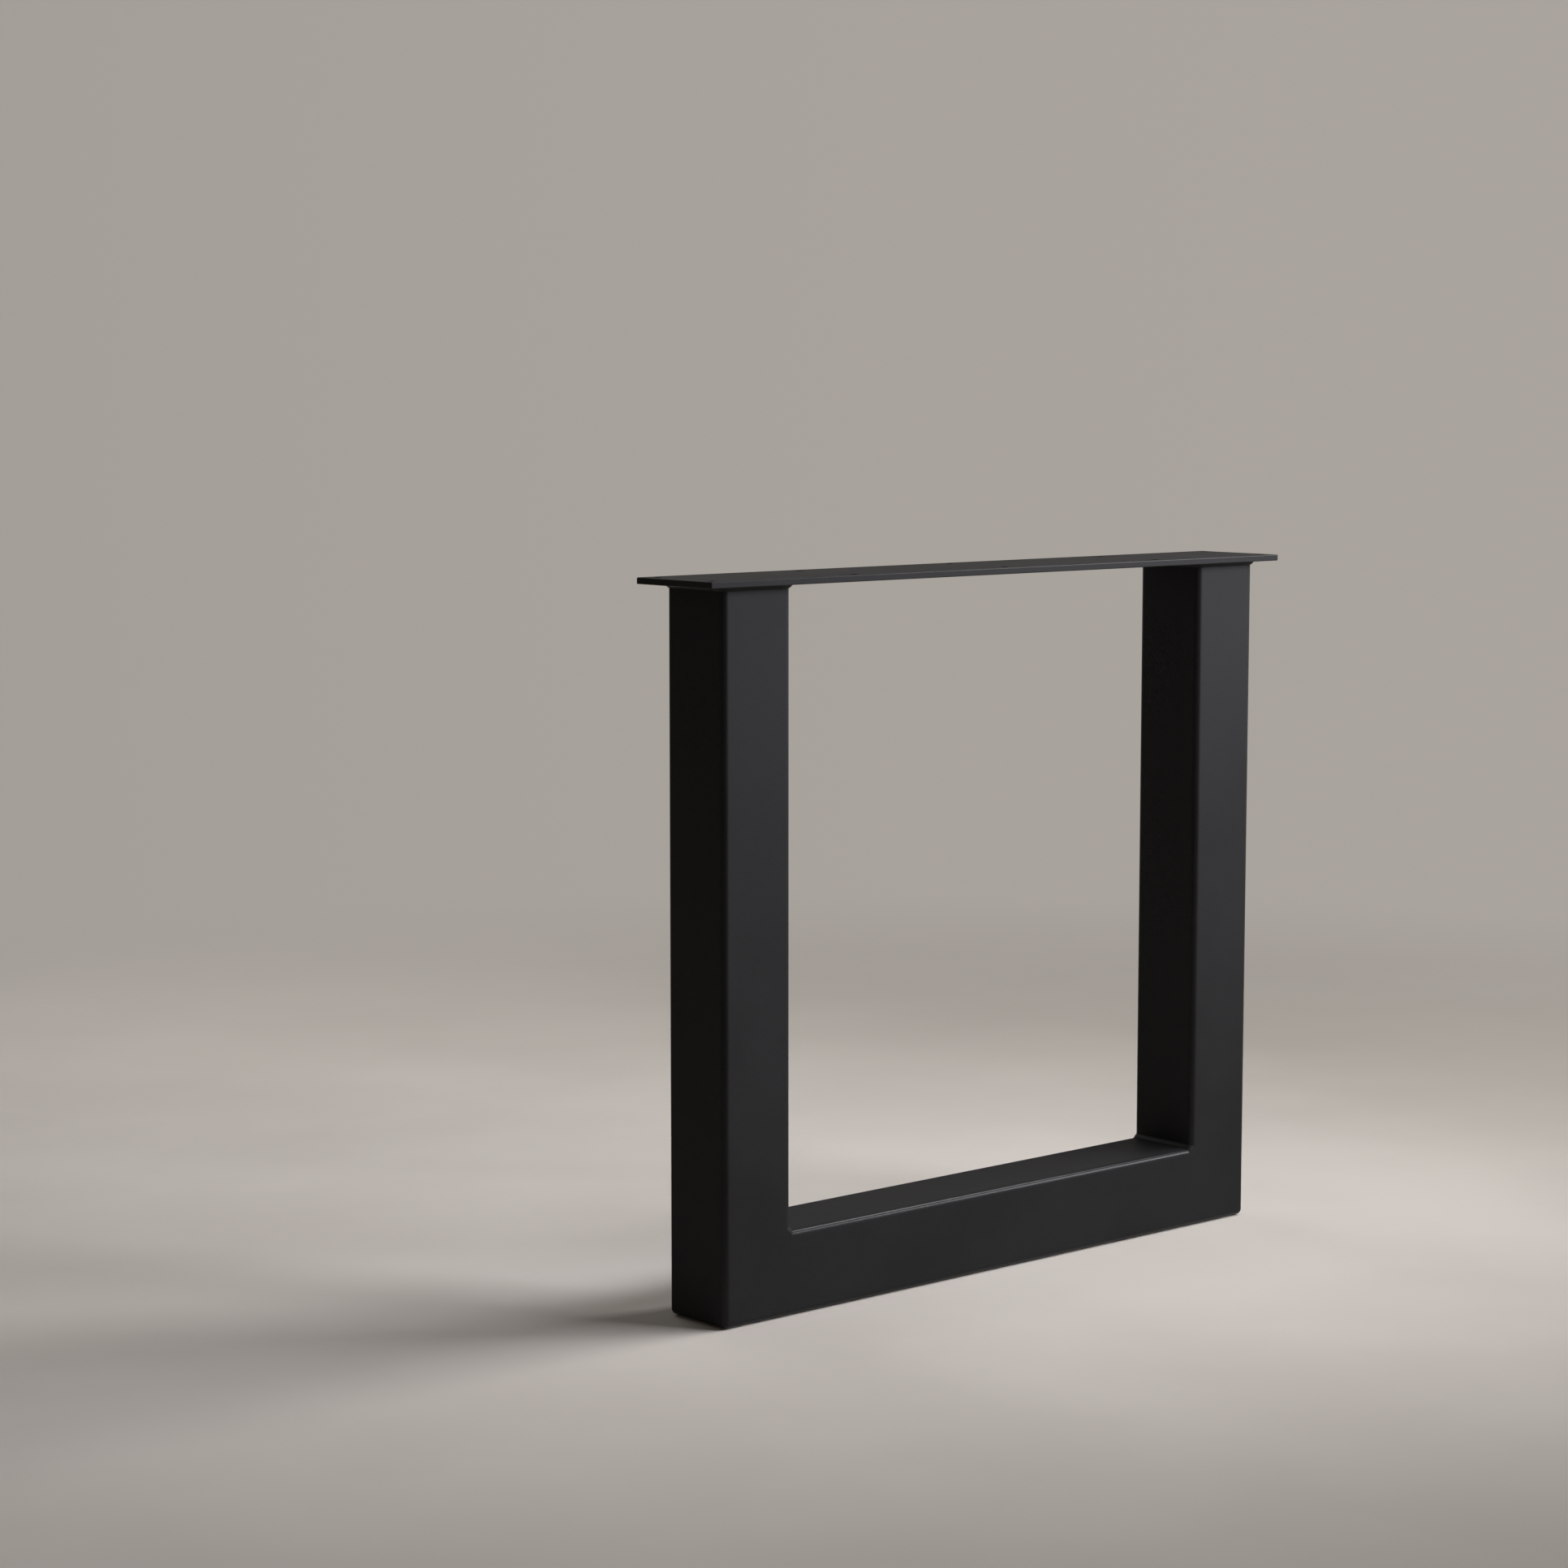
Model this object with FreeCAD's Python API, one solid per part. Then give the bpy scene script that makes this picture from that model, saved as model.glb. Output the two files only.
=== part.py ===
import FreeCAD, Part
import math
import os
from FreeCAD import Vector

# A U shaped table leg: two uprights and a floor rail of square steel tube, mitred and
# welded into a U, under a flat steel plate that is screwed to the table top.
# Millimetres. X runs along the width of the leg, Y through its depth and Z up. The
# origin is on the floor, under the middle of the leg.

# Driving dimensions

leg_height = 680.0              # floor to the upper face of the plate
frame_width = 700.0             # outside of one upright to outside of the other

tube_side = 80.0                # square tube, outside
tube_wall = 3.0
tube_edge_radius = 6.0          # outside of the rolled edges of the tube

plate_thickness = 6.0
plate_end_overhang = 25.0       # plate beyond the outside of each upright
plate_side_overhang = 12.5      # plate beyond the front and the back of the tube
plate_corner_radius = 2.0       # corners of the plate, seen from above
plate_edge_round = 0.8          # deburred edges of the plate

weld_leg = 4.0                  # width and height of a fillet weld

hole_diameter = 9.0             # round screw holes, and the width of the slots
slot_length = 25.0              # end to end, along the plate
hole_row_margin = 15.0          # rows of holes, in from the long edges of the plate
slot_margin = 70.0              # middle of a slot, in from the inside of the upright

# Worked out from these

half_width = frame_width / 2
half_inside = half_width - tube_side
upright_centre = half_width - tube_side / 2
tube_top = leg_height - plate_thickness

plate_length = frame_width + 2 * plate_end_overhang
plate_depth = tube_side + 2 * plate_side_overhang
hole_row = plate_depth / 2 - hole_row_margin
end_hole_x = half_width + plate_end_overhang / 2
slot_x = half_inside - slot_margin

UP = Vector(0, 0, 1)


def rounded_rectangle(length, depth, radius):
    """Closed outline about the origin, starting at the left end of its front edge."""
    edges = []
    start = Vector(radius - length / 2, -depth / 2, 0)
    for turn, (side_x, side_y) in enumerate(((1, -1), (1, 1), (-1, 1), (-1, -1))):
        centre = Vector(side_x * (length / 2 - radius), side_y * (depth / 2 - radius), 0)
        arc = Part.makeCircle(radius, centre, UP, 90 * turn - 90, 90 * turn)
        edges += [Part.makeLine(start, arc.valueAt(arc.FirstParameter)), arc]
        start = arc.valueAt(arc.LastParameter)
    return Part.Wire(edges)


def front_prism(points, depth):
    """Prism whose front view joins the given X and Z points, with its middle at Y 0."""
    corners = [Vector(x, -depth / 2, z) for x, z in points]
    return Part.Face(Part.makePolygon(corners + corners[:1])).extrude(Vector(0, depth, 0))


def u_bar(inset, top):
    """The U as solid bar, this far inside the outer surface of the tube.

    The edges that run along the tube are rounded, and so are the two outer corners,
    which are ground to the same radius once the mitres are welded.
    """
    outer = half_width - inset
    inner = half_inside + inset
    rail_top = tube_side - inset
    outline = [
        (-outer, inset), (outer, inset), (outer, top), (inner, top),
        (inner, rail_top), (-inner, rail_top), (-inner, top), (-outer, top),
    ]
    bar = front_prism(outline, tube_side - 2 * inset)
    radius = tube_edge_radius - inset
    if radius <= 0:
        return bar
    apart = tube_side / 4
    middles = [(edge, edge.CenterOfMass) for edge in bar.Edges]
    along_tube = [edge for edge, at in middles if abs(at.y) > apart and at.z < top - apart]
    outer_corners = [edge for edge, at in middles if abs(at.y) < apart and at.z < inset + apart]
    return bar.makeFillet(radius, along_tube + outer_corners).Solids[0]


def mitred_tubes():
    """The left upright, the right upright and the rail, parted at the 45 degree mitres."""
    tube = u_bar(0, tube_top).cut(u_bar(tube_wall, leg_height))
    past = tube_side / 2
    rail_zone = front_prism(
        [
            (-half_width - past, -past), (half_width + past, -past),
            (half_inside - past, tube_side + past), (past - half_inside, tube_side + past),
        ],
        2 * tube_side,
    )
    left, right = sorted(tube.cut(rail_zone).Solids, key=lambda solid: solid.CenterOfMass.x)
    return left, right, tube.common(rail_zone).Solids[0]


def plate_weld(centre_x):
    """Fillet weld swept round the top of one upright, against the underside of the plate."""
    path = rounded_rectangle(tube_side, tube_side, tube_edge_radius)
    root = path.OrderedVertexes[0].Point
    toes = [root - Vector(0, weld_leg, 0), root - Vector(0, 0, weld_leg)]
    bead = path.makePipe(Part.Face(Part.makePolygon([root, *toes, root])))
    return bead.translated(Vector(centre_x, 0, tube_top))


def corner_weld(side):
    """Fillet weld across the inside corner between the rail and one upright.

    Its face is the upper face of a bar of the same section as the tube, laid across the
    corner at 45 degrees, so it rounds off at the front and the back as the tubes do.
    """
    section = Part.Face(rounded_rectangle(tube_side, tube_side, tube_edge_radius))
    reach = tube_side / 4
    bar = section.extrude(2 * reach * UP).translated(-reach * UP)
    bar.rotate(Vector(), Vector(0, 1, 0), 45 * side)
    throat = weld_leg / math.sqrt(2)
    outward = Vector(-side, 0, 1).normalize()
    bar.translate(Vector(side * half_inside, 0, tube_side) + (throat - tube_side / 2) * outward)
    return bar.cut(u_bar(0, tube_top)).Solids[0]


def hole_cutter(x, y, length):
    """Round hole or, where it is longer than wide, a slot along the plate."""
    radius = hole_diameter / 2
    run = length - hole_diameter
    start = Vector(x - run / 2, y, tube_top)
    cutter = Part.makeCylinder(radius, plate_thickness, start)
    if run > 0:
        flat = Part.makeBox(run, hole_diameter, plate_thickness, start - Vector(0, radius, 0))
        cutter = cutter.fuse([flat, cutter.translated(Vector(run, 0, 0))])
    return cutter


def top_plate():
    """Flat plate: round holes at the middle and in both overhangs, and slots between them."""
    outline = Part.Face(rounded_rectangle(plate_length, plate_depth, plate_corner_radius))
    plate = outline.extrude(plate_thickness * UP)
    middle = plate_thickness / 2
    rims = [edge for edge in plate.Edges if abs(edge.CenterOfMass.z - middle) > middle / 2]
    plate = plate.makeFillet(plate_edge_round, rims).translated(tube_top * UP)
    round_holes = [(x, hole_diameter) for x in (-end_hole_x, 0, end_hole_x)]
    slots = [(x, slot_length) for x in (-slot_x, slot_x)]
    for x, length in round_holes + slots:
        for y in (-hole_row, hole_row):
            plate = plate.cut(hole_cutter(x, y, length))
    return plate.removeSplitter().Solids[0]


left_upright, right_upright, bottom_rail = mitred_tubes()
pieces = {
    "top_plate": top_plate(),
    "left_upright": left_upright,
    "right_upright": right_upright,
    "bottom_rail": bottom_rail,
    "left_plate_weld": plate_weld(-upright_centre),
    "right_plate_weld": plate_weld(upright_centre),
    "left_corner_weld": corner_weld(-1),
    "right_corner_weld": corner_weld(1),
}

os.makedirs("parts", exist_ok=True)
for node, shape in pieces.items():
    shape.exportStep("parts/" + node + ".step")
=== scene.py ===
# %% [markdown]
# # A U shaped table leg
# The leg is a weldment: two uprights and a floor rail of square steel tube, mitred into
# a U, under a flat plate that is screwed to a table top. All of it wears one coat of
# fine textured, matte black powder.
# The tubes and the plate come from the CAD model, whose shapes are already right. This
# lesson adds what the model leaves plain: the welds, the coat, a floor and soft light.

import math

import bpy
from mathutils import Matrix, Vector


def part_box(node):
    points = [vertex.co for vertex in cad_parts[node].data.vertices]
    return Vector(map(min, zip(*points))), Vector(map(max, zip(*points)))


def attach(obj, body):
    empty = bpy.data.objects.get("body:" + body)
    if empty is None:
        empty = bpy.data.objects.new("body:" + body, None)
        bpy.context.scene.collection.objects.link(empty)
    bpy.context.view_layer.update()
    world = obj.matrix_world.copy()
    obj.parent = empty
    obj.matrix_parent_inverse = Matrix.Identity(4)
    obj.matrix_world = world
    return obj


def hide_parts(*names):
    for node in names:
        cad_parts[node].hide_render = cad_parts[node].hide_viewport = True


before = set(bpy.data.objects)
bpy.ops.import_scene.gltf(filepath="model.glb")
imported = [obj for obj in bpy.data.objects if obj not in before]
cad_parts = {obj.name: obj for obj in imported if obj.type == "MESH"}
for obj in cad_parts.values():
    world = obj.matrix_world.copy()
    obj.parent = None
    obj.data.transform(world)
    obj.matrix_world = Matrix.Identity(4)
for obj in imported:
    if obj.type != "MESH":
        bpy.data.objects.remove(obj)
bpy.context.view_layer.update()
print("nodes:", ", ".join(sorted(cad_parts)))

# %% [markdown]
# ## The camera
# The photograph looks slightly down at the leg from the front, past its left upright,
# through a long lens. Long lenses keep the uprights nearly parallel, so the lens matters
# as much as the place. Both were worked out from edges of the leg in the photograph.

# %% Place the camera
camera_place = Vector((-2.4161, -2.4917, 0.8616))
camera_turn_deg = 41.08
camera_dip_deg = 6.455
lens_mm = 83.16
sensor_mm = 36.0

lens = bpy.data.cameras.new("photo_lens")
lens.sensor_width = sensor_mm
lens.lens = lens_mm
camera = bpy.data.objects.new("photo_camera", lens)
camera.location = camera_place
camera.rotation_euler = (math.radians(90 - camera_dip_deg), 0, math.radians(-camera_turn_deg))
bpy.context.scene.collection.objects.link(camera)
bpy.context.scene.camera = camera
print("camera stands", round(camera_place.length, 2), "m from the foot of the leg")

# %% [markdown]
# ## Building node trees in a script
# Materials, and the welds further on, are node trees. Adding a node, setting its values
# and linking its inputs takes many lines by hand, so a few small helpers do it. An input
# that is given another node's output becomes a link, and anything else becomes a value.
# Some nodes have several sockets of one name, for numbers, vectors and colours, and only
# the one in use is wanted.

# %% Helpers for node trees
def socket(row, key):
    """The socket at that place in the row or, by name, the one that is in use."""
    if isinstance(key, int):
        return row[key]
    return next(one for one in row if one.enabled and one.name == key)


def add(tree, kind, inputs=None, **settings):
    """Add a node, set its properties, and fill its inputs with values or links."""
    made = tree.nodes.new(kind)
    for name, value in settings.items():
        setattr(made, name, value)
    for key, value in (inputs or {}).items():
        if isinstance(value, bpy.types.NodeSocket):
            tree.links.new(value, socket(made.inputs, key))
        else:
            socket(made.inputs, key).default_value = value
    return made


def calc(tree, operation, *terms):
    """Add a Math node and return its output."""
    return add(tree, "ShaderNodeMath", dict(enumerate(terms)), operation=operation).outputs[0]


def reckon(tree, operation, *terms):
    """Add a Vector Math node and return its output in use."""
    made = add(tree, "ShaderNodeVectorMath", dict(enumerate(terms)), operation=operation)
    return next(one for one in made.outputs if one.enabled)


def ramp(tree, value, low, high, to_low=0.0, to_high=1.0):
    """Map a value smoothly from one range to another, and hold it at the ends."""
    ends = {"Value": value, "From Min": low, "From Max": high, "To Min": to_low, "To Max": to_high}
    return add(tree, "ShaderNodeMapRange", ends, interpolation_type="SMOOTHSTEP").outputs[0]


def blend(tree, factor, first, second, data_type="RGBA"):
    """Mix two colours, or two vectors, and return the result."""
    ends = {"Factor": factor, "A": first, "B": second}
    return socket(add(tree, "ShaderNodeMix", ends, data_type=data_type).outputs, "Result")


print("helpers: socket, add, calc, reckon, ramp, blend")

# %% [markdown]
# ## The studio floor
# A plain pale floor takes the shadow and gives the leg something to stand on. It is a
# disc that fades out with distance, so from any side it melts into the background with
# no horizon line. Its underside is see-through, for looks from below.
# It lies half a millimetre under the leg, so that the two surfaces don't fight. Light that
# comes up from below passes it there: a ray that meets the floor within two millimetres
# of its start can only come from the underside of the rail, and is let through.

# %% Floor
floor_radius = 5.0
floor_drop = 0.0005
fade_from, fade_to = 0.6, 2.6
near_reach = 0.002
darker, lighter = (0.84, 0.78, 0.71, 1.0), (0.90, 0.84, 0.765, 1.0)

bpy.ops.mesh.primitive_circle_add(vertices=96, radius=floor_radius, fill_type="NGON")
floor = bpy.context.object
floor.name = "studio_floor"
floor.location.z = -floor_drop

floor_paint = bpy.data.materials.new("pale_floor")
floor_paint.use_nodes = True
tree = floor_paint.node_tree
tree.nodes.clear()
spot = add(tree, "ShaderNodeTexCoord").outputs["Object"]
mottle = add(tree, "ShaderNodeTexNoise", {"Vector": spot, "Scale": 2.5, "Detail": 4.0})
shade = blend(tree, ramp(tree, mottle.outputs["Fac"], 0.3, 0.7), darker, lighter)
matte = add(tree, "ShaderNodeBsdfDiffuse", {"Color": shade})
clear = add(tree, "ShaderNodeBsdfTransparent")
below = add(tree, "ShaderNodeNewGeometry").outputs["Backfacing"]
far = ramp(tree, reckon(tree, "LENGTH", spot), fade_from, fade_to)
reach = add(tree, "ShaderNodeLightPath").outputs["Ray Length"]
near = calc(tree, "LESS_THAN", reach, near_reach)
gone = calc(tree, "MAXIMUM", calc(tree, "MAXIMUM", below, far), near)
mixed = add(tree, "ShaderNodeMixShader", {0: gone, 1: matte.outputs[0], 2: clear.outputs[0]})
add(tree, "ShaderNodeOutputMaterial", {"Surface": mixed.outputs[0]})
floor.data.materials.append(floor_paint)
print("floor: a disc", 2 * floor_radius, "m across that fades out from", fade_from, "m")

# %% [markdown]
# ## Soft light
# The photograph is lit from the right and a little from the front, by something as broad
# as a window, and the faces that look left are almost black. Four soft boxes do the same.
# Two at the right and the front right light the front faces. They are slightly cool, like
# daylight, and a grid on each narrows its beam, so that the light falls off down the
# uprights. One high on the right is for the upper faces, the edges and the shadow. None
# of these can see a face that looks left. A weak one behind shows the back.

# %% Lamps
no_grid_deg, grid_deg = 180, 65
neutral, cool = (1.0, 1.0, 1.0), (0.93, 0.93, 1.0)


def soft_box(name, place, aim, size, watts, spread_deg=no_grid_deg, tint=neutral):
    """A square area lamp that points at a place and isn't itself in the picture."""
    lamp = bpy.data.lights.new(name, "AREA")
    lamp.shape = "SQUARE"
    lamp.size = size
    lamp.energy = watts
    lamp.spread = math.radians(spread_deg)
    lamp.color = tint
    box = bpy.data.objects.new(name, lamp)
    box.location = place
    box.rotation_euler = (Vector(aim) - Vector(place)).to_track_quat("-Z", "Y").to_euler()
    box.visible_camera = False
    bpy.context.scene.collection.objects.link(box)
    return box


lamps = [
    soft_box("right_soft_box", (2.0, -1.3, 1.3), (0.0, 0.0, 0.9), 0.9, 10, grid_deg, cool),
    soft_box("front_soft_box", (1.1, -1.7, 1.5), (0.1, 0.0, 0.95), 0.9, 6, grid_deg, cool),
    soft_box("high_soft_box", (1.7, -0.4, 2.2), (0.0, 0.0, 0.3), 0.7, 24),
    soft_box("back_soft_box", (0.15, 2.3, 1.2), (0.0, 0.0, 0.4), 1.2, 8),
]
print("lamps:", ", ".join(lamp.name + " " + str(lamp.data.energy) + " W" for lamp in lamps))

# %% [markdown]
# ## The background
# The world is a pale tint, dimmer towards the left, for everything that looks at it or
# mirrors it. As a light it is only a faint glow, so that it doesn't wash out the dark
# side. Light Path tells the two apart. In a world, the Generated coordinates are the
# direction of the look, so their X says how far to the right it goes.

# %% World
left_tint, right_tint = (0.26, 0.242, 0.22, 1.0), (0.40, 0.372, 0.338, 1.0)
glow_strength, backdrop_strength = 0.2, 1.0

world = bpy.data.worlds.new("studio_world")
bpy.context.scene.world = world
world.use_nodes = True
tree = world.node_tree
tree.nodes.clear()
way = add(tree, "ShaderNodeTexCoord").outputs["Generated"]
to_right = ramp(tree, add(tree, "ShaderNodeSeparateXYZ", {0: way}).outputs["X"], -0.5, 0.9)
air = blend(tree, to_right, left_tint, right_tint)
ray = add(tree, "ShaderNodeLightPath").outputs
seen = calc(tree, "MAXIMUM", ray["Is Camera Ray"], ray["Is Glossy Ray"])
seen = calc(tree, "MAXIMUM", seen, ray["Is Transmission Ray"])
glow = add(tree, "ShaderNodeBackground", {"Color": air, "Strength": glow_strength})
backdrop = add(tree, "ShaderNodeBackground", {"Color": air, "Strength": backdrop_strength})
mixed = add(tree, "ShaderNodeMixShader", {0: seen, 1: glow.outputs[0], 2: backdrop.outputs[0]})
add(tree, "ShaderNodeOutputWorld", {"Surface": mixed.outputs[0]})
bpy.context.scene.view_settings.view_transform = "Standard"
print("world: a backdrop of strength", backdrop_strength, "that lights with", glow_strength)

# %% [markdown]
# ## The powder coat
# Powder is sprayed on dry and melts into a skin about a tenth of a millimetre thick. A
# fine texture powder sets into tiny pebbles, under a millimetre across. Over them lies a
# slower wave, the orange peel, and the film is a little thicker or thinner from hand to
# hand, which shows as faint clouds in the gloss.
# Tubes, plate and welds all wear the coat, so it is one node group that gives a colour, a
# roughness and a height in metres, and each material places it with its own values.

# %% Node group for the coat
def new_group(name, kind, inputs, outputs):
    """Make a node group with named inputs and outputs, and return its ends too."""
    group = bpy.data.node_groups.new(name, kind)
    for label, (sort, value) in inputs.items():
        made = group.interface.new_socket(label, in_out="INPUT", socket_type="NodeSocket" + sort)
        if value is not None:
            made.default_value = value
    for label, sort in outputs.items():
        group.interface.new_socket(label, in_out="OUTPUT", socket_type="NodeSocket" + sort)
    start = group.nodes.new("NodeGroupInput").outputs
    end = group.nodes.new("NodeGroupOutput").inputs
    return group, start, end


skin, takes, gives = new_group(
    "powder_skin",
    "ShaderNodeTree",
    {
        "Place": ("Vector", None),
        "Facing": ("Vector", (0.0, 0.0, 1.0)),
        "Pebble Size": ("Float", 0.0009),
        "Pebble Depth": ("Float", 0.00004),
        "Peel Size": ("Float", 0.006),
        "Peel Depth": ("Float", 0.000015),
        "Cloud Size": ("Float", 0.09),
        "Deep Colour": ("Color", (0.016, 0.016, 0.0166, 1.0)),
        "Pale Colour": ("Color", (0.022, 0.022, 0.0228, 1.0)),
        "Glossiest": ("Float", 0.58),
        "Dullest": ("Float", 0.7),
        "Edge Roughness": ("Float", 0.24),
    },
    {"Colour": "Color", "Roughness": "Float", "Height": "Float"},
)
print("powder_skin gives", ", ".join(end.name for end in gives if end.name))

# %% [markdown]
# ### Pebbles, peel and clouds
# Pebbles are packed cells, so a Voronoi texture draws them: the distance from the middle
# of a cell becomes a dome. Peel and clouds have no cells, and plain noise will do. Faces
# for grains this small would run into the millions, so they are a height that only tilts
# the light. Clouds and pebbles also shade the colour a little.

# %% Grain and colour of the coat
cloud_share = 0.7


def noise(tree, place, size, detail):
    """Soft noise about 0.5, with features of the given size."""
    scale = calc(tree, "DIVIDE", 1.0, size)
    made = add(tree, "ShaderNodeTexNoise", {"Vector": place, "Scale": scale, "Detail": detail})
    return made.outputs["Fac"]


cells = add(
    skin,
    "ShaderNodeTexVoronoi",
    {"Vector": takes["Place"], "Scale": calc(skin, "DIVIDE", 1.0, takes["Pebble Size"])},
    feature="SMOOTH_F1",
)
pebble = ramp(skin, cells.outputs["Distance"], 0.75, 0.1)
peel = noise(skin, takes["Place"], takes["Peel Size"], 1.0)
cloud = ramp(skin, noise(skin, takes["Place"], takes["Cloud Size"], 3.0), 0.3, 0.7)
grain = calc(skin, "MULTIPLY", pebble, 1 - cloud_share)
blotch = calc(skin, "MULTIPLY_ADD", cloud, cloud_share, grain)
tone = blend(skin, blotch, takes["Deep Colour"], takes["Pale Colour"])
skin.links.new(tone, gives["Colour"])
print("the colour follows the clouds by", cloud_share, "and the pebbles for the rest")

# %% [markdown]
# ### Rolled edges
# Melted powder draws thin over an edge and sets smoother there, so the rolled edges of the
# tube catch the light as fine lines. Each edge could have a material of its own, but the
# way that the surface faces already tells where they are: on a flat one part of the normal
# is one or minus one, and on a rolled edge none of them is.

# %% Roughness and height of the coat
edge_begins, edge_full = 0.99, 0.92
edge_smoothing = 0.7

parts = add(skin, "ShaderNodeSeparateXYZ", {0: takes["Facing"]}).outputs
x, y, z = [calc(skin, "ABSOLUTE", part) for part in parts]
largest = calc(skin, "MAXIMUM", calc(skin, "MAXIMUM", x, y), z)
edge = ramp(skin, largest, edge_begins, edge_full)
spread = calc(skin, "SUBTRACT", takes["Dullest"], takes["Glossiest"])
dull = calc(skin, "MULTIPLY_ADD", blotch, spread, takes["Glossiest"])
polish = calc(skin, "SUBTRACT", takes["Edge Roughness"], dull)
skin.links.new(calc(skin, "MULTIPLY_ADD", edge, polish, dull), gives["Roughness"])
kept = calc(skin, "MULTIPLY_ADD", edge, -edge_smoothing, 1.0)
pebbles = calc(skin, "MULTIPLY", calc(skin, "MULTIPLY", pebble, takes["Pebble Depth"]), kept)
height = calc(skin, "MULTIPLY_ADD", peel, takes["Peel Depth"], pebbles)
skin.links.new(height, gives["Height"])
print("powder_skin has", len(skin.nodes), "nodes")

# %% [markdown]
# ## A coated material
# Every coated piece has the same start: the place on the piece goes into the coat, and the
# coat's colour and roughness go into a Principled shader. The coat's shine is the same all
# over, so it is a plain number on the shader. What is left to each material is its own
# relief, which a Bump node turns into a tilt of the surface.

# %% Helpers for coated materials
coat_shine = 0.1


def coated(name, **values):
    """A material with the powder coat, its Principled shader and the place it reads."""
    material = bpy.data.materials.new(name)
    material.use_nodes = True
    tree = material.node_tree
    tree.nodes.clear()
    place = add(tree, "ShaderNodeTexCoord").outputs["Object"]
    coat = add(tree, "ShaderNodeGroup", node_tree=skin)
    tree.links.new(place, coat.inputs["Place"])
    for label, value in values.items():
        coat.inputs[label.replace("_", " ")].default_value = value
    shader = add(
        tree,
        "ShaderNodeBsdfPrincipled",
        {
            "Base Color": coat.outputs["Colour"],
            "Roughness": coat.outputs["Roughness"],
            "Specular IOR Level": coat_shine,
        },
    )
    add(tree, "ShaderNodeOutputMaterial", {"Surface": shader.outputs[0]})
    return material, tree, place, coat, shader


def raise_surface(tree, shader, height):
    """Let a height in metres tilt the shader's normal."""
    bump = add(tree, "ShaderNodeBump", {"Height": height, "Distance": 1.0})
    tree.links.new(bump.outputs[0], shader.inputs["Normal"])


print("helpers: coated, raise_surface")

# %% [markdown]
# ## Coated tube
# The tube has the plain coat. Where the mitres were welded and ground flush, a trace of
# the seam still shows through the film as a very shallow dip along the 45 degree line.
# The seam is found from the place alone: on it, the distance in from the outer side of
# the upright is the same as the height above the floor.

# %% Material of the tubes
half_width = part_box("right_upright")[1].x
seam_bottom, seam_reach, seam_depth = 0.0005, 0.004, 0.00002

tube_coat, tree, place, coat, shader = coated("tube_powder_coat")
facing = add(tree, "ShaderNodeNewGeometry").outputs["Normal"]
tree.links.new(facing, coat.inputs["Facing"])
x, y, z = add(tree, "ShaderNodeSeparateXYZ", {0: place}).outputs
inward = calc(tree, "SUBTRACT", half_width, calc(tree, "ABSOLUTE", x))
off_seam = calc(tree, "ABSOLUTE", calc(tree, "SUBTRACT", inward, z))
seam = ramp(tree, off_seam, seam_bottom, seam_reach, -seam_depth, 0.0)
raise_surface(tree, shader, calc(tree, "ADD", seam, coat.outputs["Height"]))
for node in ("left_upright", "right_upright", "bottom_rail"):
    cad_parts[node].data.materials[0] = tube_coat
print("tubes wear", tube_coat.name, "with a seam at each lower corner")

# %% [markdown]
# ## Coated plate
# The plate is cut from sheet by laser. The beam leaves fine upright lines on every cut
# wall, round the outside and inside the holes, and the coat softens them but doesn't
# fill them. They are noise that is stretched upwards. They belong on walls only, so the
# way that the surface faces decides where they show: a wall's normal has no upward part.

# %% Material of the plate
line_width, line_depth = 0.0006, 0.00002
line_stretch = (1.0, 1.0, 0.04)

plate_coat, tree, place, coat, shader = coated("plate_powder_coat", Peel_Depth=0.000006)
facing = add(tree, "ShaderNodeNewGeometry").outputs["Normal"]
tree.links.new(facing, coat.inputs["Facing"])
upward = add(tree, "ShaderNodeSeparateXYZ", {0: facing}).outputs["Z"]
wall = ramp(tree, calc(tree, "ABSOLUTE", upward), 0.5, 0.1)
lines = noise(tree, reckon(tree, "MULTIPLY", place, line_stretch), line_width, 1.0)
cut_lines = calc(tree, "MULTIPLY", calc(tree, "MULTIPLY", lines, line_depth), wall)
raise_surface(tree, shader, calc(tree, "ADD", cut_lines, coat.outputs["Height"]))
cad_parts["top_plate"].data.materials[0] = plate_coat
print("plate wears", plate_coat.name, "with cut lines on its walls")

# %% [markdown]
# ## Coated weld
# The film flows a little as it melts and gathers in the valleys of a weld, so here it is
# smoother and slightly glossier than on the flats, and its pebbles are shallower. The
# shape of a weld is modelled further on, so its material needs no other relief.

# %% Material of the welds
weld_coat, tree, place, coat, shader = coated(
    "weld_powder_coat", Pebble_Depth=0.000012, Cloud_Size=0.02, Glossiest=0.4, Dullest=0.5
)
raise_surface(tree, shader, coat.outputs["Height"])
print("welds wear", weld_coat.name)

# %% [markdown]
# ## Ripples of a weld
# A weld is laid down drop by drop, and each drop freezes as a crescent over the one
# before it. Modelled by hand that would be hundreds of shapes, but a rule gives them all:
# along the bead the height goes up and down once in each step, the middle of a step runs
# ahead of its ends, and no two steps are quite the same.
# Two kinds of bead use the rule, so it is a node group of its own.

# %% Node group for the ripples
middle_lead = 0.7
sway_size = 0.006
lowest_step, highest_step = 0.65, 1.15
toe_slope = 2.5

ripple, takes, gives = new_group(
    "weld_ripple",
    "GeometryNodeTree",
    {
        "Along": ("Float", 0.0),
        "Across": ("Float", 0.0),
        "Place": ("Vector", None),
        "Steps": ("Float", 100.0),
        "Pitch": ("Float", 0.002),
        "Depth": ("Float", 0.0002),
        "Seed": ("Int", 0),
    },
    {"Height": "Float"},
)


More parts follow.
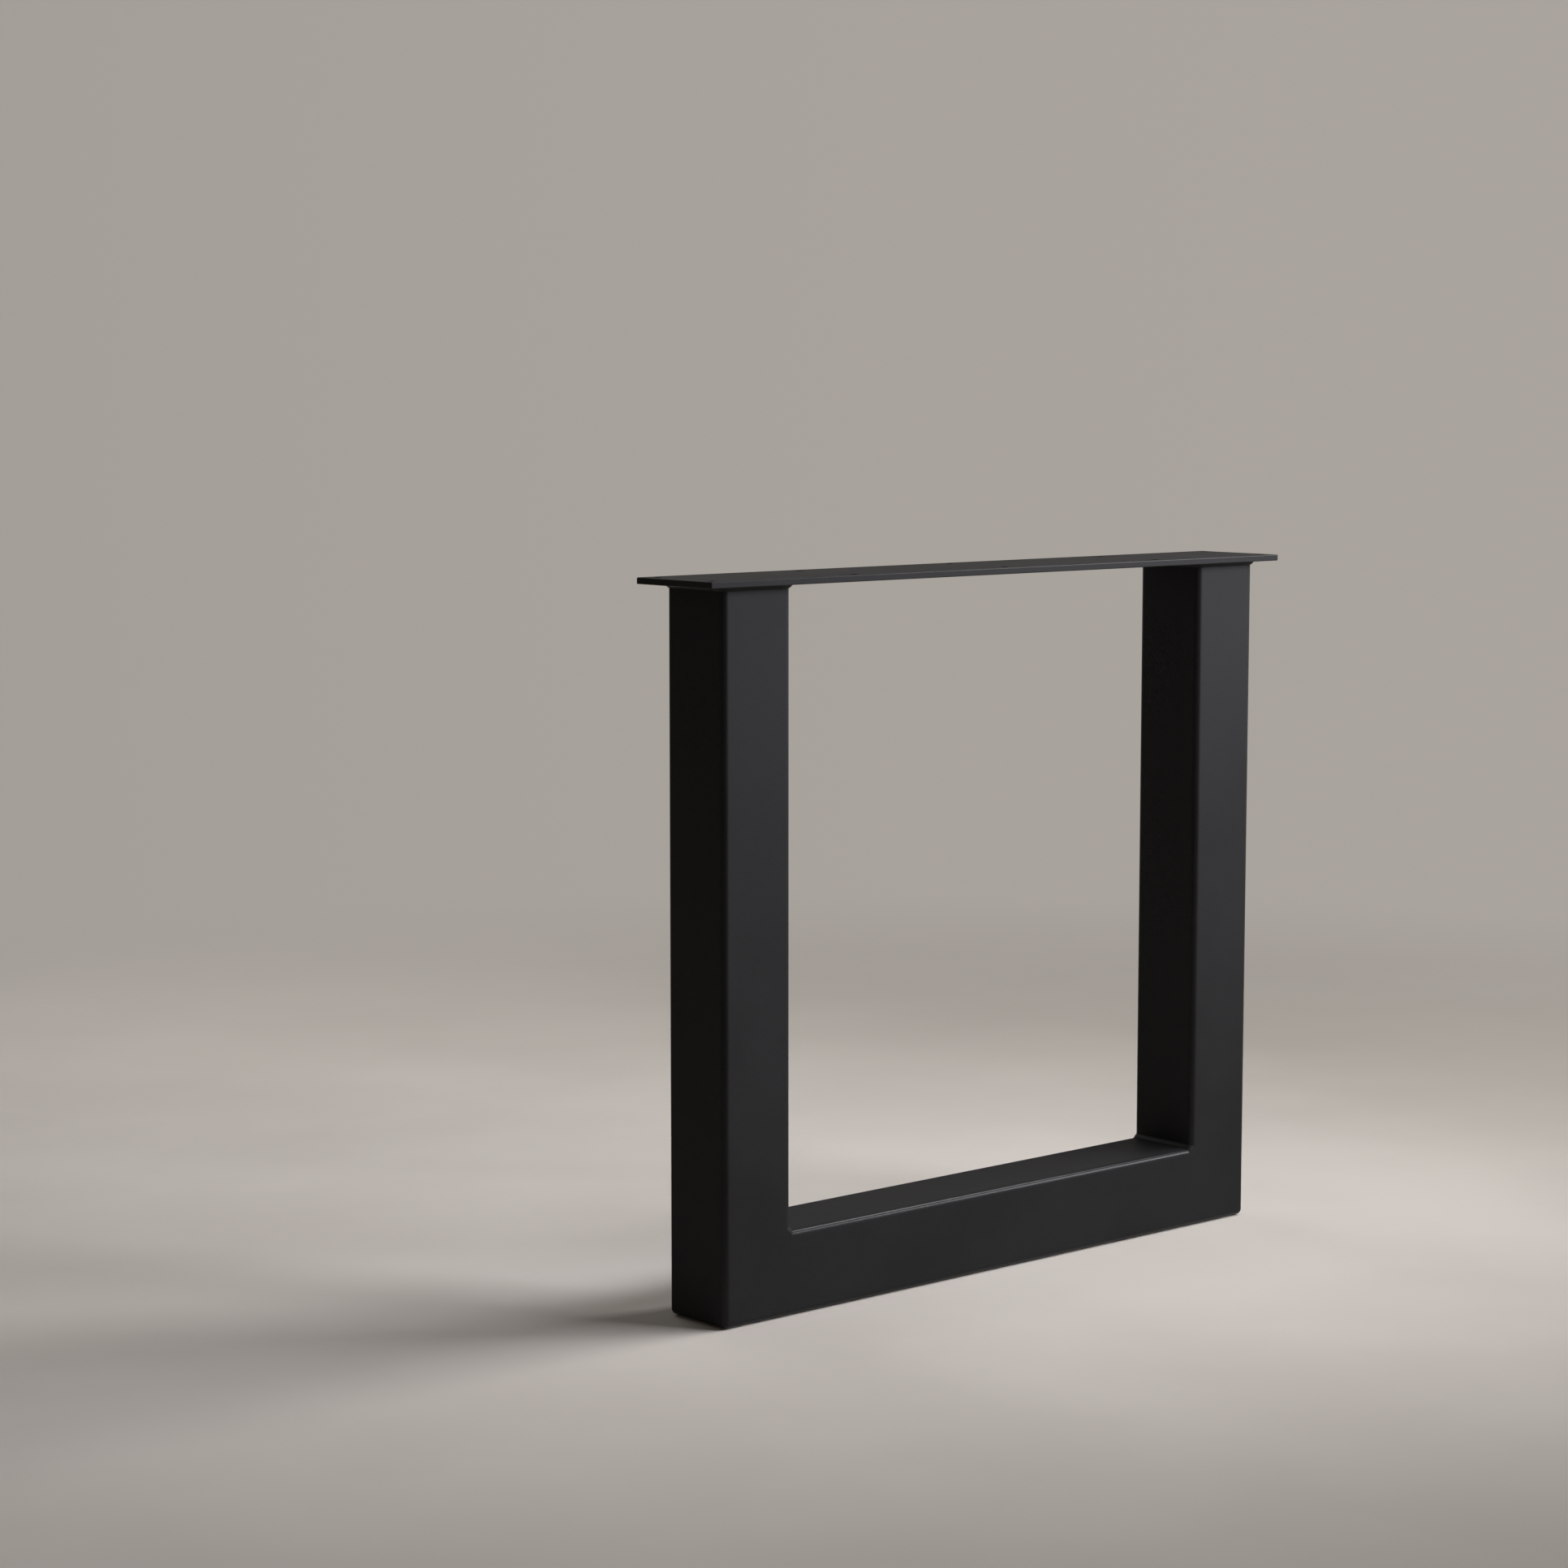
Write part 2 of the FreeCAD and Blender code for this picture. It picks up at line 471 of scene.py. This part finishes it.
def arch(tree, across):
    """A low arch over the face of a bead: 0 at both toes and 1 half way between them."""
    centred = calc(tree, "MULTIPLY_ADD", across, 2.0, -1.0)
    return calc(tree, "SUBTRACT", 1.0, calc(tree, "MULTIPLY", centred, centred))


bow = arch(ripple, takes["Across"])
sway = calc(ripple, "SUBTRACT", noise(ripple, takes["Place"], sway_size, 1.0), 0.5)
lead = calc(ripple, "MULTIPLY_ADD", bow, middle_lead, sway)
phase = calc(ripple, "ADD", calc(ripple, "DIVIDE", takes["Along"], takes["Pitch"]), lead)
hump = calc(ripple, "ABSOLUTE", calc(ripple, "SINE", calc(ripple, "MULTIPLY", phase, math.pi)))
number = calc(ripple, "FLOORED_MODULO", calc(ripple, "FLOOR", phase), takes["Steps"])
limits = {"Min": lowest_step, "Max": highest_step, "ID": number, "Seed": takes["Seed"]}
share = socket(add(ripple, "FunctionNodeRandomValue", limits).outputs, "Value")
height = calc(ripple, "MULTIPLY", calc(ripple, "MULTIPLY", hump, takes["Depth"]), share)
toe = calc(ripple, "MINIMUM", 1.0, calc(ripple, "MULTIPLY", bow, toe_slope))
ripple.links.new(calc(ripple, "MULTIPLY", height, toe), gives["Height"])
print("weld_ripple takes", ", ".join(start.name for start in takes if start.name))

# %% [markdown]
# ## The shape of a bead
# A fillet weld has a three cornered section: a toe on each of the two steels that it
# joins, and a root in the corner between them. Its face swells a little between the toes.
# Both kinds of bead start as a flat sheet of points, with the length of the bead one way
# and its section the other. The first and the last row lie at the root and the rows
# between make the face, so that when the points are moved into place and doubles are
# merged, the sheet has closed into a solid. The root is buried a little in the steel.

# %% The sheet and the section of a bead
section_rows = 13
root_depth = 0.0004
toe_depth = 0.00004


def hold(tree, value, low=0.0, high=1.0):
    """Keep a value between two ends."""
    return add(tree, "ShaderNodeClamp", {"Value": value, "Min": low, "Max": high}).outputs[0]


def push(tree, direction, amount):
    """A direction times an amount."""
    made = add(tree, "ShaderNodeVectorMath", {0: direction, "Scale": amount}, operation="SCALE")
    return made.outputs[0]


def total(tree, *vectors):
    """The sum of several vectors."""
    so_far = vectors[0]
    for more in vectors[1:]:
        so_far = reckon(tree, "ADD", so_far, more)
    return so_far


def bead_sheet(tree, stations):
    """The sheet, how far along it a point is, how far across its face, and if at the root."""
    counts = {"Size X": 1.0, "Size Y": 1.0, "Vertices X": stations, "Vertices Y": section_rows}
    sheet = add(tree, "GeometryNodeMeshGrid", counts).outputs["Mesh"]
    spot = add(tree, "GeometryNodeInputPosition").outputs[0]
    x, y, z = add(tree, "ShaderNodeSeparateXYZ", {0: spot}).outputs
    along = calc(tree, "ADD", x, 0.5)
    last = section_rows - 1
    across = hold(tree, calc(tree, "MULTIPLY_ADD", y, last / (last - 2), 0.5))
    at_root = calc(tree, "GREATER_THAN", calc(tree, "ABSOLUTE", y), 0.5 - 0.5 / last)
    return sheet, along, across, at_root


def bead_section(tree, across, at_root, leg, swell, first_way, second_way, outward):
    """Where a point lies from the root of its section: on the face, or just under the root."""
    first = calc(tree, "MULTIPLY", leg, calc(tree, "SUBTRACT", 1.0, across))
    second = calc(tree, "MULTIPLY", leg, across)
    rise = calc(tree, "SUBTRACT", swell, toe_depth)
    ways = ((first_way, first), (second_way, second), (outward, rise))
    face = total(tree, *(push(tree, way, amount) for way, amount in ways))
    root = push(tree, outward, -root_depth)
    return blend(tree, at_root, face, root, "VECTOR")


print("a bead has", section_rows - 2, "points across its face")

# %% [markdown]
# ### Closing a bead
# Both kinds of bead also end in the same way. Doubles are merged within two thousandths of
# a millimetre, which is far less than the spacing of the points, and the tree ends in a
# plain mesh that wears its coat. Their sizes are the same too, so they are listed once.

# %% Last nodes and sizes of a bead
merge_within = 2e-6


def close_bead(tree, sheet, places, material, end):
    """Move the points into place, merge the doubles, shade it smooth and give it its coat."""
    moved = add(tree, "GeometryNodeSetPosition", {"Geometry": sheet, "Position": places})
    merging = {"Geometry": moved.outputs[0], "Distance": merge_within}
    merged = add(tree, "GeometryNodeMergeByDistance", merging)
    smooth = add(tree, "GeometryNodeSetShadeSmooth", {"Geometry": merged.outputs[0]})
    real = add(tree, "GeometryNodeRealizeInstances", {"Geometry": smooth.outputs[0]})
    coating = {"Geometry": real.outputs[0], "Material": material}
    tree.links.new(add(tree, "GeometryNodeSetMaterial", coating).outputs[0], end["Geometry"])


bead_sizes = {
    "Leg": ("Float", 0.004),
    "Crown": ("Float", 0.0003),
    "Pitch": ("Float", 0.0022),
    "Depth": ("Float", 0.00025),
    "Spacing": ("Float", 0.00035),
    "Seed": ("Int", 1),
    "Material": ("Material", None),
}
print("sizes of a bead:", ", ".join(bead_sizes))

# %% [markdown]
# ## Welds under the plate
# Each upright is welded to the plate all round its top. The bead follows the outline of
# the tube, which is a square with rounded corners: a rectangle curve with a fillet. At
# each point of the sheet the curve is sampled for its place and its direction, one leg of
# the section goes out along the plate and the other goes down the tube.
# The ripples have to meet where the ring closes, so their pitch is stretched until a whole
# number of them goes round.

# %% Tree for a ring bead
up, down = (0.0, 0.0, 1.0), (0.0, 0.0, -1.0)

ring, takes, gives = new_group(
    "plate_weld_ring",
    "GeometryNodeTree",
    {
        "Tube Side": ("Float", 0.08),
        "Edge Radius": ("Float", 0.006),
        "Centre": ("Vector", (0.0, 0.0, 0.0)),
        **bead_sizes,
    },
    {"Geometry": "Geometry"},
)
square = {0: takes["Tube Side"], 1: takes["Tube Side"]}
square = add(ring, "GeometryNodeCurvePrimitiveQuadrilateral", square).outputs[0]
rounded = {"Curve": square, "Count": 24, "Radius": takes["Edge Radius"]}
outline = add(ring, "GeometryNodeFilletCurve", rounded, mode="POLY").outputs[0]
girth = add(ring, "GeometryNodeCurveLength", {0: outline}).outputs[0]
stations = calc(ring, "CEIL", calc(ring, "DIVIDE", girth, takes["Spacing"]))
sheet, along, across, at_root = bead_sheet(ring, stations)
path = add(ring, "GeometryNodeSampleCurve", {"Curves": outline, "Factor": along}).outputs
sideways = reckon(ring, "NORMALIZE", reckon(ring, "CROSS_PRODUCT", path["Tangent"], up))
outward = push(ring, total(ring, sideways, down), math.sqrt(0.5))
steps = calc(ring, "ROUND", calc(ring, "DIVIDE", girth, takes["Pitch"]))
waves = add(
    ring,
    "GeometryNodeGroup",
    {
        "Along": calc(ring, "MULTIPLY", along, girth),
        "Across": across,
        "Place": path["Position"],
        "Steps": steps,
        "Pitch": calc(ring, "DIVIDE", girth, steps),
        "Depth": takes["Depth"],
        "Seed": takes["Seed"],
    },
    node_tree=ripple,
).outputs[0]
swell = calc(ring, "MULTIPLY_ADD", takes["Crown"], arch(ring, across), waves)
offset = bead_section(ring, across, at_root, takes["Leg"], swell, down, sideways, outward)
places = total(ring, path["Position"], takes["Centre"], offset)
close_bead(ring, sheet, places, takes["Material"], gives)
print(ring.name, "has", len(ring.nodes), "nodes")

# %% [markdown]
# ## Making a bead
# A tree does nothing until a modifier runs it. The modifier's inputs are set by their
# identifiers before it runs, and then its result is copied out as a plain mesh and the
# modifier is taken off, so that what is left is an ordinary piece. Where two faces meet
# at more than a shallow angle, as along the toes, the edge is kept sharp.

# %% Ring beads in place
sharp_from_deg = 55
first_ring_seed = 11


def make_bead(name, tree, replaced, **values):
    """Run a bead's tree, keep its mesh, and let it stand for a plain CAD weld."""
    piece = bpy.data.objects.new(name, bpy.data.meshes.new(name))
    bpy.context.scene.collection.objects.link(piece)
    modifier = piece.modifiers.new("bead", "NODES")
    modifier.node_group = tree
    entries = [one for one in tree.interface.items_tree if one.in_out == "INPUT"]
    labels = {one.name: one.identifier for one in entries}
    for label, value in values.items():
        modifier[labels[label.replace("_", " ")]] = value
    modifier[labels["Material"]] = weld_coat
    bpy.context.view_layer.update()
    finished = piece.evaluated_get(bpy.context.evaluated_depsgraph_get())
    made = bpy.data.meshes.new_from_object(finished)
    piece.modifiers.remove(modifier)
    made.name = name
    made.set_sharp_from_angle(angle=math.radians(sharp_from_deg))
    piece.data = made
    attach(piece, "root")
    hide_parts(replaced)
    ends = [map(pick, *(v.co for v in made.vertices)) for pick in (min, max)]
    low, high = [[round(1000 * c, 2) for c in end] for end in ends]
    print(name, len(made.polygons), "faces, from", low, "to", high, "mm")


tube_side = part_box("bottom_rail")[1].z
plate_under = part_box("top_plate")[0].z
upright_centre = half_width - tube_side / 2
sides = (("left", -1.0), ("right", 1.0))
for number, (side, sign) in enumerate(sides):
    make_bead(
        side + "_plate_weld_bead",
        ring,
        side + "_plate_weld",
        Tube_Side=tube_side,
        Centre=(sign * upright_centre, 0.0, plate_under),
        Seed=first_ring_seed + number,
    )

# %% [markdown]
# ## Welds in the inside corners
# The bead between the rail and an upright runs straight through the depth of the tube. At
# the front and the back it rolls over the rounded edges and ends flush with the faces,
# where it was ground off. So its path is an arc, a straight and an arc, and each point of
# the sheet is told how far it has walked along that. One more station at each end is left
# over, to close the ends with.

# %% Path of a corner bead
corner, takes, gives = new_group(
    "inside_corner_bead",
    "GeometryNodeTree",
    {
        "Side": ("Float", 1.0),
        "Half Inside": ("Float", 0.27),
        "Tube Side": ("Float", 0.08),
        "Edge Radius": ("Float", 0.006),
        **bead_sizes,
    },
    {"Geometry": "Geometry"},
)
radius = takes["Edge Radius"]
straight = calc(corner, "MULTIPLY_ADD", radius, -2.0, takes["Tube Side"])
arc = calc(corner, "MULTIPLY", radius, math.pi / 2)
length = calc(corner, "MULTIPLY_ADD", arc, 2.0, straight)
steps = calc(corner, "CEIL", calc(corner, "DIVIDE", length, takes["Spacing"]))
stations = calc(corner, "ADD", steps, 2.0)
sheet, along, across, at_root = bead_sheet(corner, stations)
last = calc(corner, "SUBTRACT", stations, 1.0)
station = calc(corner, "SUBTRACT", calc(corner, "MULTIPLY", along, last), 1.0)
done = hold(corner, calc(corner, "DIVIDE", station, calc(corner, "SUBTRACT", last, 2.0)))
walked = calc(corner, "MULTIPLY", done, length)
print("path of a corner bead set out in", len(corner.nodes), "nodes")

# %% [markdown]
# ### Rolling over the edges
# On the rounded edges both tubes fall away from the corner, so the root drops back and the
# legs grow: by the fall, times two less the root of two. The depth is drawn in by a hair,
# so that the ends of the bead don't fight with the faces of the tubes.

# %% Root and legs of a corner bead
flush_share = 0.9995


def turn(past):
    """How far round an edge the bead has rolled, for a distance past the edge's start."""
    return hold(corner, calc(corner, "DIVIDE", past, radius), 0.0, math.pi / 2)


past_front = calc(corner, "SUBTRACT", walked, arc)
front_turn = turn(calc(corner, "SUBTRACT", arc, walked))
back_turn = turn(calc(corner, "SUBTRACT", past_front, straight))
level = calc(corner, "COSINE", calc(corner, "MAXIMUM", front_turn, back_turn))
fall = calc(corner, "MULTIPLY", radius, calc(corner, "SUBTRACT", 1.0, level))
leg = calc(corner, "MULTIPLY_ADD", fall, 2 - math.sqrt(2), takes["Leg"])
on_flat = calc(corner, "MINIMUM", calc(corner, "MAXIMUM", past_front, 0.0), straight)
depth_y = calc(corner, "MULTIPLY_ADD", straight, -0.5, on_flat)
rolled = calc(corner, "SUBTRACT", calc(corner, "SINE", back_turn), calc(corner, "SINE", front_turn))
depth_y = calc(corner, "MULTIPLY_ADD", rolled, radius, depth_y)
depth_y = calc(corner, "MULTIPLY", depth_y, flush_share)
root_x = calc(corner, "ADD", takes["Half Inside"], fall)
root_z = calc(corner, "SUBTRACT", takes["Tube Side"], fall)
root = add(corner, "ShaderNodeCombineXYZ", {"X": root_x, "Y": depth_y, "Z": root_z}).outputs[0]
print("the legs of a bead grow by", round(2 - math.sqrt(2), 3), "of the fall")

# %% [markdown]
# ### Face and ends
# The face has its crown and its ripples, and both die away where the bead rolls over and
# was ground. The spare stations at the ends are drawn together to one point, which closes
# the bead. The tree is set out for the right corner, and a mirror gives the left one. A
# mirror turns a shape inside out, so there the faces are flipped back.

# %% Tree for a corner bead
inner, rising = (-1.0, 0.0, 0.0), (-math.sqrt(0.5), 0.0, math.sqrt(0.5))

trail = add(corner, "ShaderNodeCombineXYZ", {0: takes["Half Inside"], 1: walked})
waves = add(
    corner,
    "GeometryNodeGroup",
    {
        "Along": walked,
        "Across": across,
        "Place": trail.outputs[0],
        "Pitch": takes["Pitch"],
        "Depth": calc(corner, "MULTIPLY", takes["Depth"], calc(corner, "POWER", level, 3.0)),
        "Seed": takes["Seed"],
    },
    node_tree=ripple,
).outputs[0]
crown = calc(corner, "MULTIPLY", takes["Crown"], level)
swell = calc(corner, "MULTIPLY_ADD", crown, arch(corner, across), waves)
offset = bead_section(corner, across, at_root, leg, swell, up, inner, rising)
from_middle = calc(corner, "ABSOLUTE", calc(corner, "SUBTRACT", along, 0.5))
half_step = calc(corner, "DIVIDE", 0.5, last)
at_end = calc(corner, "GREATER_THAN", from_middle, calc(corner, "SUBTRACT", 0.5, half_step))
middle = push(corner, (-1.0, 0.0, 1.0), calc(corner, "DIVIDE", leg, 3.0))
places = total(corner, root, blend(corner, at_end, offset, middle, "VECTOR"))
mirror = add(corner, "ShaderNodeCombineXYZ", {0: takes["Side"], 1: 1.0, 2: 1.0}).outputs[0]
places = reckon(corner, "MULTIPLY", places, mirror)
left_handed = calc(corner, "LESS_THAN", takes["Side"], 0.0)
flipped = add(corner, "GeometryNodeFlipFaces", {"Mesh": sheet, "Selection": left_handed})
close_bead(corner, flipped.outputs[0], places, takes["Material"], gives)
print(corner.name, "has", len(corner.nodes), "nodes")

# %% [markdown]
# ### Both corners
# The tree runs once for each corner, with its own seed, so that no two welds are alike.

# %% Corner beads in place
first_corner_seed = 21

for number, (side, sign) in enumerate(sides):
    make_bead(
        side + "_corner_weld_bead",
        corner,
        side + "_corner_weld",
        Side=sign,
        Half_Inside=half_width - tube_side,
        Tube_Side=tube_side,
        Seed=first_corner_seed + number,
    )
